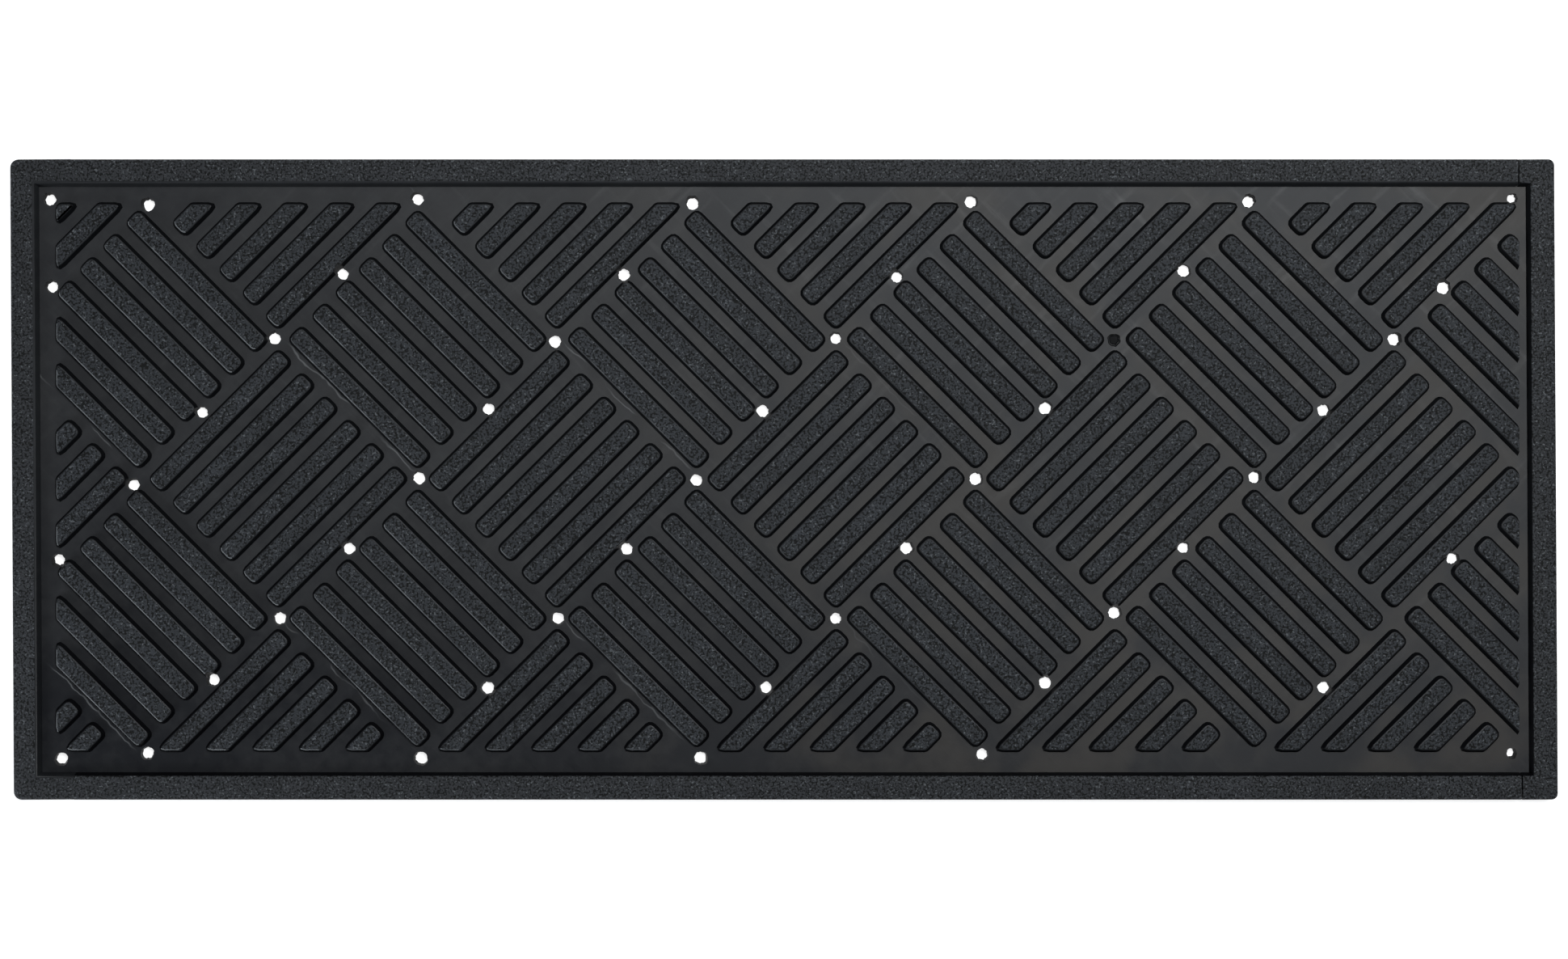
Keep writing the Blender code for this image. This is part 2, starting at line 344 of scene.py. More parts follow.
class Finish:
    """A material on the Principled shader, and one method that adds its nodes."""

    def __init__(self, name):
        self.material = bpy.data.materials.new(name)
        self.material.use_nodes = True
        self.tree = self.material.node_tree
        self.shader = self.tree.nodes["Principled BSDF"]

    def node(self, kind, settings=None, values=None, output=0):
        made = self.tree.nodes.new(kind)
        for key, value in (settings or {}).items():
            setattr(made, key, value)
        for key, value in (values or {}).items():
            self.feed(made.inputs[key], value)
        return Signal(self, made.outputs[output])

    def feed(self, socket, value):
        if isinstance(value, Signal):
            self.tree.links.new(value.socket, socket)
        else:
            socket.default_value = value

    def set(self, **values):
        """Feeds the shader's own sockets: Base_Color=..., Roughness=..."""
        for key, value in values.items():
            self.feed(self.shader.inputs[key.replace("_", " ")], value)

    def place(self, stretch=None, turn=0.0):
        """Where a point is on the mat. A stretched place draws a pattern out along one direction."""
        coordinates = self.node("ShaderNodeTexCoord", output="Object")
        if stretch is None:
            return coordinates
        values = {"Vector": coordinates, "Scale": stretch, "Rotation": (0, 0, turn)}
        return self.node("ShaderNodeMapping", {"vector_type": "TEXTURE"}, values)

    def axes(self, place):
        """X and Y of a place, as two values."""
        return [
            self.node("ShaderNodeSeparateXYZ", None, {"Vector": place}, axis) for axis in (0, 1)
        ]

    def noise(self, size, place, detail=2.0, roughness=0.5):
        """Soft noise whose blotches are about so many metres across."""
        values = {"Vector": place, "Scale": 1 / size, "Detail": detail, "Roughness": roughness}
        return self.node("ShaderNodeTexNoise", None, values)

    def mix(self, share, first, second):
        """A colour between two colours. A Mix node's colour sockets are numbers 6 and 7, and 2."""
        values = {0: share, 6: first, 7: second}
        return self.node("ShaderNodeMix", {"data_type": "RGBA"}, values, output=2)

    def bump(self, strength, distance, height):
        values = {"Strength": strength, "Distance": distance, "Height": height}
        return self.node("ShaderNodeBump", None, values)


# %% [markdown]
# ## Grained rubber
# The tops of the bars and of the lip come out of a mould that was etched, so they carry a leathery
# grain of bumps about a millimetre across. Cells from a Voronoi texture give the bumps and soft
# noise breaks their edges. Both drive the colour, the roughness and the bump together, so that they
# agree with each other. Here and there a bump gets a cool grey glint painted into its colour, broad
# patches are a little paler where feet have been, and fine rub marks lie over all.


# %% Make the grained finish
GRAIN_SIZE = 1.0 * MILLIMETRE
RIPPLE_SIZE = 0.7 * MILLIMETRE
GLINT_SIZE = 1.1 * MILLIMETRE
RUB_SIZE = 9 * MILLIMETRE
PATCH_SIZE = 38 * MILLIMETRE
GRAIN_DEPTH = 0.4 * MILLIMETRE
GRAIN_MIDDLE = 0.62
GRAIN_CONTRAST = 0.07
GRAIN_DARK = (0.0005, 0.001, 0.001, 1)
GLINT_COLOUR = (0.125, 0.135, 0.145, 1)


def grained_rubber(name, raised, wear):
    """A finish whose hollows are near black and whose bumps have the raised colour."""
    finish = Finish(name)
    place = finish.place()
    cells = finish.node(
        "ShaderNodeTexVoronoi",
        {"feature": "SMOOTH_F1"},
        {"Vector": place, "Scale": 1 / GRAIN_SIZE, "Smoothness": 0.6, "Randomness": 1.0},
    )
    ripple = finish.noise(RIPPLE_SIZE, place, 3.0, 0.65)
    height = (1 - cells) * 0.7 + ripple * 0.6
    patches = finish.noise(PATCH_SIZE, place, 3.0, 0.55)
    rubs = finish.noise(RUB_SIZE, place, 4.0, 0.65).ramp(0.52, 0.75)
    glints = finish.noise(GLINT_SIZE, place, 1.0, 0.5).ramp(0.60, 0.76)
    speckle = height.ramp(GRAIN_MIDDLE - GRAIN_CONTRAST, GRAIN_MIDDLE + GRAIN_CONTRAST)
    tone = (speckle * (0.34 + 0.42 * patches) + rubs * wear).clamped()
    # The glints are painted highlights: a cool grey mixed into the base colour.
    finish.set(
        Base_Color=finish.mix(0.9 * glints, finish.mix(tone, GRAIN_DARK, raised), GLINT_COLOUR),
        Roughness=0.60 + 0.12 * ripple - 0.10 * speckle + 0.06 * patches,
        Specular_IOR_Level=0.32,
        Normal=finish.bump(0.9, GRAIN_DEPTH, height),
    )
    return finish.material


bar_finish = grained_rubber("bar_rubber", (0.054, 0.060, 0.070, 1), wear=0.20)
lip_finish = grained_rubber("lip_rubber", (0.055, 0.059, 0.067, 1), wear=0.28)
print("grained finishes:", bar_finish.name, lip_finish.name)

# %% [markdown]
# ## Painted highlight lines and stains
# A thin wavy pale line is painted on the sheet as a highlight, along the front left side of every
# other block, and only at the left end, near the low light. A line on a lattice comes from rounding:
# a coordinate less its nearest whole number is the distance to the nearest line. At the right-hand
# end the sheet has dull brown stains where water dried.

# %% Painted highlight lines along the blocks
# The pale line is a painted highlight.
HIGHLIGHT_LINE_COLOUR = (0.13, 0.135, 0.14, 1)
STAIN_COLOUR = (0.038, 0.032, 0.026, 1)
HIGHLIGHT_LINE_INSET = 1.4 * MILLIMETRE
HIGHLIGHT_LINE_WAVE = 6 * MILLIMETRE
HIGHLIGHT_LINE_WAVE_SIZE = 11 * MILLIMETRE
HIGHLIGHT_LINE_PATCH_SIZE = 26 * MILLIMETRE
HIGHLIGHT_LINE_CORE = 0.1 * MILLIMETRE
HIGHLIGHT_LINE_EDGE = 0.55 * MILLIMETRE


def block_highlight_lines(finish, place, x, y):
    """1 on the wavy painted highlight line along the front left side of each block of falling bars.
    """
    from_x = x - LATTICE_ORIGIN.x
    from_y = y - LATTICE_ORIGIN.y
    across = (from_x + from_y) / (BLOCK_SIDE * math.sqrt(2))
    along = (from_x - from_y) / (BLOCK_SIDE * math.sqrt(2))
    line = across.rounded()
    turn = (along - line + 0.5) / 2
    beside = 1 - (turn - turn.rounded()).size().ramp(0.20, 0.24)
    wave = finish.noise(HIGHLIGHT_LINE_WAVE_SIZE, place) - 0.5
    off = ((across - line) * BLOCK_SIDE - HIGHLIGHT_LINE_INSET - wave * HIGHLIGHT_LINE_WAVE).size()
    patches = finish.noise(HIGHLIGHT_LINE_PATCH_SIZE, place).ramp(0.42, 0.56)
    return (1 - off.ramp(HIGHLIGHT_LINE_CORE, HIGHLIGHT_LINE_EDGE)) * beside * patches


print("painted highlight lines", round(1000 * BLOCK_SIDE, 1), "mm apart")

# %% [markdown]
# ## Smooth rubber
# The sheet and the channels between the bars came off polished steel. They are satin, with cloudy
# patches where the mould release dried, and faint streaks where the rubber flowed along the
# channels, which run at 45 degrees both ways. Towards the front edge the rubber is darker and
# glossier. The steep walls get a near-black, duller finish of the same kind, as painted shade. The
# lip's walls at the back and at the left get a paler one, as painted light, and the rims of the bars
# are a bit paler than the walls.

# %% Make the smooth finishes
CLOUD_SIZE = 60 * MILLIMETRE
MOTTLE_SIZE = 6 * MILLIMETRE
STREAK_SIZE = 5 * MILLIMETRE
STREAK_STRETCH = (1.0, 9.0, 1.0)
FINE_SIZE = 0.8 * MILLIMETRE
SMOOTH_DEPTH = 0.12 * MILLIMETRE
FRONT_FADE = (mat_low.y + 0.03, mat_low.y + 0.17)
LEFT_FADE = (mat_low.x + 0.20, mat_low.x + 0.50)


def smooth_rubber(name, dark, pale, roughness, shine=0.5, highlights_and_stains=0.0):
    """A satin finish between two colours, with stains and painted highlight lines where
    highlights_and_stains isn't 0.
    """
    finish = Finish(name)
    place = finish.place()
    clouds = finish.noise(CLOUD_SIZE, place, 4.0, 0.55)
    mottle = finish.noise(MOTTLE_SIZE, place, 4.0, 0.6)
    fine = finish.noise(FINE_SIZE, place)
    rising, falling = (
        finish.noise(STREAK_SIZE, finish.place(STREAK_STRETCH, turn), 4.0, 0.6).ramp(0.52, 0.80)
        for turn in (math.radians(45), math.radians(-45))
    )
    streaks = rising + falling
    x, y = finish.axes(place)
    at_front = 1 - y.ramp(*FRONT_FADE)
    at_left = 1 - x.ramp(*LEFT_FADE)
    tone = (1.5 * clouds + 0.9 * mottle - 0.75 + 0.35 * streaks - 0.35 * at_front).clamped()
    stains = 0.75 * highlights_and_stains * (1 - at_left) * clouds.ramp(0.42, 0.62)
    # Pale lines painted as a highlight along the blocks, at the left end only.
    painted_highlight_lines = highlights_and_stains * at_left * block_highlight_lines(finish, place, x, y)
    rubber = finish.mix(stains, finish.mix(tone, dark, pale), STAIN_COLOUR)
    finish.set(
        Base_Color=finish.mix(painted_highlight_lines, rubber, HIGHLIGHT_LINE_COLOUR),
        Roughness=roughness + 0.10 * mottle + 0.06 * clouds - 0.08 * streaks - 0.10 * at_front,
        Specular_IOR_Level=shine,
        Normal=finish.bump(0.25, SMOOTH_DEPTH, mottle + 0.5 * fine + 0.4 * streaks),
    )
    return finish.material


sheet_finish = smooth_rubber(
    "sheet_rubber", (0.003, 0.004, 0.007, 1), (0.026, 0.027, 0.029, 1), 0.46, highlights_and_stains=0.8
)
# Near-black walls: painted shade.
painted_shade_finish = smooth_rubber(
    "painted_shade_rubber", (0.002, 0.002, 0.003, 1), (0.005, 0.006, 0.007, 1), 0.55, shine=0.15
)
# Paler walls where light falls on the lip: painted light.
painted_light_wall_finish = smooth_rubber(
    "painted_light_wall", (0.009, 0.010, 0.012, 1), (0.020, 0.022, 0.024, 1), 0.6, shine=0.3
)
rim_finish = smooth_rubber(
    "rim_rubber", (0.010, 0.011, 0.013, 1), (0.024, 0.026, 0.029, 1), 0.45, shine=0.3
)
print("smooth finishes:", sheet_finish.name, painted_shade_finish.name, painted_light_wall_finish.name, rim_finish.name)

# %% [markdown]
# ## Painted edge highlights
# The roundings of the bars that face the front left get a pale painted highlight, strongest at the
# left end near the low light, and less and less towards the right. The highlight is broken up by
# noise.


# %% Make the painted edge highlight finish
HIGHLIGHT_FADE = (mat_low.x + 0.10, mat_low.x + 0.50)
HIGHLIGHT_BREAKS = 14 * MILLIMETRE
HIGHLIGHT_FINE_SIZE = 0.9 * MILLIMETRE
HIGHLIGHT_BUMP_DEPTH = 0.1 * MILLIMETRE


def edge_highlight_rubber(name, dark, pale):
    finish = Finish(name)
    place = finish.place()
    x = finish.axes(place)[0]
    breaks = finish.noise(HIGHLIGHT_BREAKS, place, 3.0, 0.6).ramp(0.36, 0.60)
    fine = finish.noise(HIGHLIGHT_FINE_SIZE, place)
    tone = ((1 - x.ramp(*HIGHLIGHT_FADE)) * (0.35 + 0.65 * breaks) * (0.6 + 0.7 * fine)).clamped()
    finish.set(
        Base_Color=finish.mix(tone, dark, pale),
        Roughness=0.42 + 0.1 * fine,
        Specular_IOR_Level=0.5,
        Normal=finish.bump(0.3, HIGHLIGHT_BUMP_DEPTH, fine),
    )
    return finish.material


# A pale colour that paints a highlight on the front-left roundings.
painted_edge_highlight_finish = edge_highlight_rubber("painted_edge_highlight", (0.010, 0.011, 0.013, 1), (0.20, 0.21, 0.22, 1))
print("painted edge highlight finish:", painted_edge_highlight_finish.name)

# %% [markdown]
# ## Drain holes
# The holes are punched by hand after moulding, so each sits a hair off its place, some strayed by
# millimetres, and their edges are a little torn. A cutter is a cone that is a little wider at the
# top and slanted, so a crescent of the wall shows from above, and the wall is painted near black
# as shade. Each is pushed out of round by its own seeded random numbers. The same cutters go through
# the sheet and the blocks, so that the walls of a hole line up. The two holes in the right-hand
# corners are narrower, and one hole in the middle was never punched through, so it is only a dimple
# whose floor is painted near black as shade.

# %% Place the holes
HOLE_DIAMETER = 4.8 * MILLIMETRE
HOLE_SIDES = 20
HOLE_FROM_LIP = 3.6 * MILLIMETRE
HOLE_SCATTER = 0.35 * MILLIMETRE
HOLE_TEAR = 0.28 * MILLIMETRE
HOLE_STRETCH = (0.94, 1.07)
HOLE_FLARE = 0.9 * MILLIMETRE
HOLE_SLANT = 1.5 * MILLIMETRE
END_HOLE_SLIDE = {1: 12.6 * MILLIMETRE, -1: 7.3 * MILLIMETRE}
BLIND_NODE = (3, 1)
UNPUNCHED_NODES = {BLIND_NODE, (5, -1), (4, -2)}
STRAY_HOLES = {
    (-4, 2): (4.4, -2.2),
    (-4, 0): (-3.4, -3.2),
    (-4, -2): (3.4, 2.2),
    (-3.5, 0.5): (-4.0, -2.0),
    (-3.5, -1.5): (2.2, 3.8),
    (-3, 1): (-2.6, 0.0),
    (-2.5, 1.5): (-3.0, -2.5),
    (-2, -2): (1.5, 0.0),
    (-1, 1): (-1.5, -0.6),
    (-0.5, 1.5): (-1.7, -2.0),
    (0, 2): (-2.2, -2.0),
    (0, -2): (1.7, 0.0),
    (0.5, 0.5): (-2.0, -0.8),
    (1.5, 1.5): (-4.5, -3.6),
    (2, 2): (-2.3, -0.9),
    (2, -2): (3.2, 1.9),
    (2.5, -1.5): (0.0, 2.2),
    (3, -1): (-0.6, 2.4),
    (4, 2): (-2.6, -1.4),
}
CORNER_HOLES = (
    (-1, 1, 4.2 * MILLIMETRE, 6.2 * MILLIMETRE),
    (1, 1, 6.7 * MILLIMETRE, 5.5 * MILLIMETRE),
    (-1, -1, 9.2 * MILLIMETRE, 7.0 * MILLIMETRE),
    (1, -1, 7.9 * MILLIMETRE, 9.8 * MILLIMETRE),
)
block_places = [lattice_place(name) for name in BLOCK_NODES]


def punched(i, j):
    """Where the hole meant for a lattice point, or for the middle of a block's side, really is."""
    stray = Vector(STRAY_HOLES.get((i, j), (0, 0))) * MILLIMETRE
    return lattice(i, j) + stray


def hole_places():
    """Block corners, then the ends of the falling bars' blocks, then the tray's corners."""
    rows = range(min(j for i, j in block_places) - 1, max(j for i, j in block_places) + 2)
    columns = range(min(i for i, j in block_places) - 1, max(i for i, j in block_places) + 2)
    for j in rows:
        for i in columns:
            if (i + j) % 2 == 0 and (i, j) not in UNPUNCHED_NODES:
                yield punched(i, j)
    for j in rows:
        across = [i for i, row in block_places if row == j and j % 2]
        for i in across:
            at_end = i in (min(across), max(across))
            slide = END_HOLE_SLIDE.get(j, 0.0) / math.sqrt(2) if at_end else 0.0
            yield punched(i - 0.5, j + 0.5) - Vector((slide, slide))
            yield punched(i + 0.5, j - 0.5)
    for end, edge, from_end, from_edge in CORNER_HOLES:
        x = TRAY_LOW.x + from_end if end < 0 else TRAY_HIGH.x - from_end
        y = TRAY_LOW.y + from_edge if edge < 0 else TRAY_HIGH.y - from_edge
        yield Vector((x, y))


holes = [point for point in hole_places() if inside(point, TRAY_LOW, TRAY_HIGH, HOLE_FROM_LIP)]
print(len(holes), "drain holes")


# %% One hole cutter
def punch(name, place, low_end, high_end, chance):
    """A cone from one (height, radius) to another, torn, slanted and a bit off its place."""
    low_z, low_radius = low_end
    high_z, high_radius = high_end
    bpy.ops.object.select_all(action="DESELECT")
    bpy.ops.mesh.primitive_cone_add(
        vertices=HOLE_SIDES,
        radius1=low_radius,
        radius2=high_radius,
        depth=high_z - low_z,
        location=(place.x, place.y, (low_z + high_z) / 2),
    )
    cutter = settle(bpy.context.object)
    cutter.name = name
    shift = Vector((chance.uniform(-1, 1), chance.uniform(-1, 1), 0)) * HOLE_SCATTER
    slant = Vector((chance.uniform(-1, 1), chance.uniform(-1, 1), 0)) * HOLE_SLANT
    stretch = chance.uniform(*HOLE_STRETCH)
    tears = [chance.uniform(-1, 1) * HOLE_TEAR for side in range(HOLE_SIDES)]
    # A cone's vertices come in pairs, low and high, so each pair shares a tear.
    for number, vertex in enumerate(cutter.data.vertices):
        arm = Vector((vertex.co.x - place.x, vertex.co.y - place.y, 0))
        longer = arm.length * stretch + tears[number // 2]
        vertex.co += arm.normalized() * (longer - arm.length) + shift
        if vertex.co.z > TRAY_Z:
            vertex.co += slant
    return cutter


# %% Make the hole cutters
BEYOND = 1 * MILLIMETRE
TIGHTER = 0.8 * MILLIMETRE
TIGHT_REACH = 11 * MILLIMETRE
chance = random.Random(11)


def hole_ends(place):
    """The two ends of a cutter as (height, radius). The radius grows evenly with the height."""
    slope = HOLE_FLARE / (TRAY_Z - FLOOR_Z)
    from_end = TRAY_HIGH.x - place.x
    from_edge = min(TRAY_HIGH.y - place.y, place.y - TRAY_LOW.y)
    radius = HOLE_DIAMETER / 2
    if max(from_end, from_edge) < TIGHT_REACH:
        radius -= TIGHTER
    return [(z, radius + slope * (z - FLOOR_Z)) for z in (FLOOR_Z - BEYOND, LIP_TOP_Z + BEYOND)]


cutters = [
    punch(f"hole_cutter_{number}", place, *hole_ends(place), chance)
    for number, place in enumerate(holes)
]
through_holes = joined(cutters, "through_holes")
print("cutters have", len(through_holes.data.polygons), "faces")

# %% Make the dimple's cutter
DIMPLE_RADIUS = 3.0 * MILLIMETRE
DIMPLE_FLOOR_RADIUS = 1.9 * MILLIMETRE
DIMPLE_DEPTH = 1.9 * MILLIMETRE
dimple_z = TRAY_Z - DIMPLE_DEPTH
dimple_slope = (DIMPLE_RADIUS - DIMPLE_FLOOR_RADIUS) / DIMPLE_DEPTH
blind_hole = punch(
    "blind_hole",
    lattice(*BLIND_NODE),
    (dimple_z, DIMPLE_FLOOR_RADIUS),
    (LIP_TOP_Z, DIMPLE_FLOOR_RADIUS + dimple_slope * (LIP_TOP_Z - dimple_z)),
    chance,
)
print(f"dimple {1000 * DIMPLE_DEPTH:.1f} mm deep")

# %% [markdown]
# ## The lip
# The lip is one moulded frame: a flat grained band, a small rounding outside, and inside a
# rounding that falls into a steep wall. It starts as a box whose upright corners are bevelled. Its
# upper edge climbs in rings, and two cutters take out the tray's space from above and the sheet's
# space from below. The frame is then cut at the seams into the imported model's four pieces. The two
# end pieces lean by a third of a degree, as they do on a mat that was trimmed by hand, and the long
# pieces are cut to follow them. The seam at the right-hand end stands a little open.

# %% Model the frame
CORNER_RADIUS_LEFT = 4.0 * MILLIMETRE
CORNER_RADIUS_RIGHT = 3.0 * MILLIMETRE
CORNER_SEGMENTS = 6
LIP_EDGE_RADIUS = 1.1 * MILLIMETRE
LIP_FLAT_END = 10.7 * MILLIMETRE
ROUNDING_STEPS = 4


def rounding(radius, steps=ROUNDING_STEPS):
    """A quarter circle as (inwards, upwards) steps, steep at first and flat at last."""
    angles = [math.radians(90 * step / steps) for step in range(steps + 1)]
    points = [(radius * (1 - math.cos(angle)), radius * math.sin(angle)) for angle in angles]
    return [(b[0] - a[0], b[1] - a[1]) for a, b in zip(points, points[1:])]


body = box_piece("lip_frame", mat_low, (mat_high.x, mat_high.y, LIP_TOP_Z - LIP_EDGE_RADIUS))
start_edit(body)
for sign, radius in ((-1, CORNER_RADIUS_LEFT), (1, CORNER_RADIUS_RIGHT)):
    choose("EDGE", lambda edge: standing(edge) and edge.verts[0].co.x * sign > 0)
    bpy.ops.mesh.bevel(offset=radius, segments=CORNER_SEGMENTS, affect="EDGES")
choose("FACE", upward)
climb(rounding(LIP_EDGE_RADIUS))
end_edit()
print("the blank has", len(body.data.polygons), "faces")

# %% Cut the tray and the sheet's space out of the frame
THROUGH = 5 * MILLIMETRE
INNER_ROUND = 1.3 * MILLIMETRE
CUTTER_TAPER = 0.5 * MILLIMETRE
run = LIP_WIDTH - LIP_FLAT_END
drop = LIP_TOP_Z - TRAY_Z
WALL_TURN = math.radians(66)
steps = [WALL_TURN * step / ROUNDING_STEPS for step in range(ROUNDING_STEPS + 1)]
curve = [(INNER_ROUND * math.sin(angle), INNER_ROUND * (1 - math.cos(angle))) for angle in steps]
profile = [(b[0] - a[0], b[1] - a[1]) for a, b in zip(curve, curve[1:])]
profile.append((run - curve[-1][0], drop - curve[-1][1]))

tray_space = box_piece(
    "tray_space",
    (mat_low.x + LIP_FLAT_END, mat_low.y + LIP_FLAT_END, LIP_TOP_Z),
    (mat_high.x - LIP_FLAT_END, mat_high.y - LIP_FLAT_END, LIP_TOP_Z + THROUGH),
)
start_edit(tray_space)
choose("FACE", downward)
climb(profile + [(CUTTER_TAPER, THROUGH)])
end_edit()
combine(body, tray_space, "DIFFERENCE")

sheet_space = box_piece(
    "sheet_space",
    (sheet_low.x, sheet_low.y, FLOOR_Z - THROUGH),
    (sheet_high.x, sheet_high.y, TRAY_Z),
)
combine(body, sheet_space, "DIFFERENCE")
print("the lip frame has", len(body.data.polygons), "faces")

# %% Plan the seams
SEAM_WIDTH = 0.7 * MILLIMETRE
FAR = 1.0
END_SKEW = math.radians(0.33)
skew_shift = math.tan(END_SKEW) * (mat_high.y - LIP_WIDTH / 2)
right_cut = SEAM_WIDTH / 2
ROUNDING_TURN = 0.75
LIT_WALL_LIPS = ("border_back", "border_left")
lip_boxes = {
    "border_left": ((-FAR, -FAR), (LEFT_SEAM, FAR)),
    "border_right": ((RIGHT_SEAM + right_cut, -FAR), (FAR, FAR)),
    "border_front": ((LEFT_SEAM + skew_shift, -FAR), (RIGHT_SEAM + skew_shift - right_cut, 0)),
    "border_back": ((LEFT_SEAM - skew_shift, 0), (RIGHT_SEAM - skew_shift - right_cut, FAR)),
}
print(f"the long pieces' seams shift {1000 * skew_shift:.2f} mm to follow the ends")


# %% Cut the frame at its seams
def inner_wall(face):
    """1 for the smooth inner wall, 2 for the rounding above it, and 0 for the grained rest."""
    if not inside(face.center, mat_low, mat_high, LIP_FLAT_END - SAME_HEIGHT):
        return 0
    if face.center.z < TRAY_Z + SAME_HEIGHT:
        return 0
    return 2 if face.normal.z > ROUNDING_TURN else 1


for node, (low, high) in lip_boxes.items():
    lip = copy_of(body, node.replace("border", "lip"))
    start_edit(lip)
    cut_off(Vector(low), Vector(high))
    bpy.ops.mesh.select_all(action="SELECT")
    bpy.ops.mesh.remove_doubles(threshold=SAME_PLACE)
    turn_outwards()
    if node in ("border_left", "border_right"):
        middle = sum(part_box(node), Vector()) / 2
        bpy.ops.transform.rotate(value=-END_SKEW, orient_axis="Z", center_override=middle)
    end_edit()
    # The back and left lips' inner walls get the paler finish, painted light, and the front and
    # right ones the near-black finish, painted shade.
    if node in LIT_WALL_LIPS:
        dress(lip, (lip_finish, painted_light_wall_finish, rim_finish), inner_wall)
    else:
        dress(lip, (lip_finish, painted_shade_finish, lip_finish), inner_wall)
    smooth(lip)
    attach(lip, "root")
    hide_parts(node)
    print(lip.name, len(lip.data.polygons), "faces")
for spare in (body, tray_space, sheet_space):
    bpy.data.objects.remove(spare)

# %% [markdown]
# ## The sheet
# The sheet is a thin plate. Its pocket holds the tread blocks, which fill it to the brim, so the
# tray looks like one floor. Underneath it stands on low round feet that let water run away. The
# pocket is an inset face, stretched and moved to the field's edges, and pushed down. The feet are
# copies of one short cylinder with a bevelled rim. They are added with a Boolean, and then the
# holes and the dimple are cut. The walls that the cutters leave, and the dimple's floor, get the
# near-black finish: painted shade.

# %% Model the plate and its pocket
INSET = 10 * MILLIMETRE
sheet = box_piece(
    "sheet",
    (sheet_low.x, sheet_low.y, FLOOR_Z + FOOT_HEIGHT),
    (sheet_high.x, sheet_high.y, TRAY_Z),
)
pocket_size = FIELD_HIGH - FIELD_LOW
pocket_centre = (FIELD_HIGH + FIELD_LOW) / 2
sheet_centre = (sheet_high + sheet_low).to_2d() / 2
sheet_size = (sheet_high - sheet_low).to_2d()
start_edit(sheet)
choose("FACE", upward)
bpy.ops.mesh.inset(thickness=INSET)
inset_size = sheet_size - Vector((2 * INSET, 2 * INSET))
stretch = (pocket_size.x / inset_size.x, pocket_size.y / inset_size.y, 1)
bpy.ops.transform.resize(value=stretch, center_override=(sheet_centre.x, sheet_centre.y, TRAY_Z))
move = pocket_centre - sheet_centre
bpy.ops.transform.translate(value=(move.x, move.y, 0))
bpy.ops.mesh.extrude_region_move(TRANSFORM_OT_translate={"value": (0, 0, -POCKET_DEPTH)})
end_edit()
print("the pocket is", [round(1000 * side, 1) for side in pocket_size], "mm")

# %% Make the feet
FOOT_DIAMETER = 8.0 * MILLIMETRE
FOOT_SIDES = 24
FOOT_ROUND = 0.4 * MILLIMETRE


def foot_places():
    """Two places under each block, where the sheet has room for a foot."""
    for i, j in block_places:
        for side in (-1, 1):
            point = lattice(i, j) + Vector((side * HALF_DIAGONAL / 2, 0))
            if inside(point, sheet_low, sheet_high, FOOT_DIAMETER):
                yield point


bpy.ops.object.select_all(action="DESELECT")
bpy.ops.mesh.primitive_cylinder_add(
    vertices=FOOT_SIDES,
    radius=FOOT_DIAMETER / 2,
    depth=2 * FOOT_HEIGHT,
    location=(0, 0, FLOOR_Z + FOOT_HEIGHT),
)
foot = settle(bpy.context.object)
start_edit(foot)
choose("EDGE", lambda edge: all(vertex.co.z < FLOOR_Z + SAME_HEIGHT for vertex in edge.verts))
bpy.ops.mesh.bevel(offset=FOOT_ROUND, segments=2, affect="EDGES")
end_edit()
feet = [
    copy_of(foot, f"foot_{number}", (place.x, place.y, 0))
    for number, place in enumerate(foot_places())
]
print(len(feet), "feet")
all_feet = joined(feet, "feet")
bpy.data.objects.remove(foot)

# %% Put the sheet together
CLEAR = 0.1 * MILLIMETRE
STEEPEST_FLAT = 0.9


def hole_wall(face):
    """1 for the wall of a drain hole and the floor of the dimple, and 0 for the rest."""
    above_feet = face.center.z > FLOOR_Z + FOOT_HEIGHT + CLEAR
    below_pocket = face.center.z < TRAY_Z - POCKET_DEPTH - CLEAR
    return 1 if above_feet and (below_pocket or abs(face.normal.z) < STEEPEST_FLAT) else 0


combine(sheet, all_feet, "UNION")
combine(sheet, through_holes, "DIFFERENCE")
combine(sheet, blind_hole, "DIFFERENCE")
bpy.data.objects.remove(all_feet)
# Hole walls and the dimple's floor get the near-black painted shade.
dress(sheet, (sheet_finish, painted_shade_finish), hole_wall)
smooth(sheet)
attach(sheet, "root")
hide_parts("base_sheet")
print("the sheet has", len(sheet.data.polygons), "faces")

# %% [markdown]
# ## The bars
# A bar is a long low loaf: round ends, walls that lean in so that it leaves the mould, a small
# rounding, and a flat grained top. It starts as a flat rectangle, turned and in place. A bar at the
# edge of the field is cut to the field while it is still flat, and corners that come out closer
# than a few millimetres are merged. Each corner is rounded by bevelling its vertex, by an amount
# that suits its angle. Then the face is extruded and climbs in rings: the wall, the rounding, and a
# last narrow ring that keeps the shading of the top flat. At the right-hand end of the mat the bars
# run on under the knife: they are raised too long, and cut off sharp afterwards.

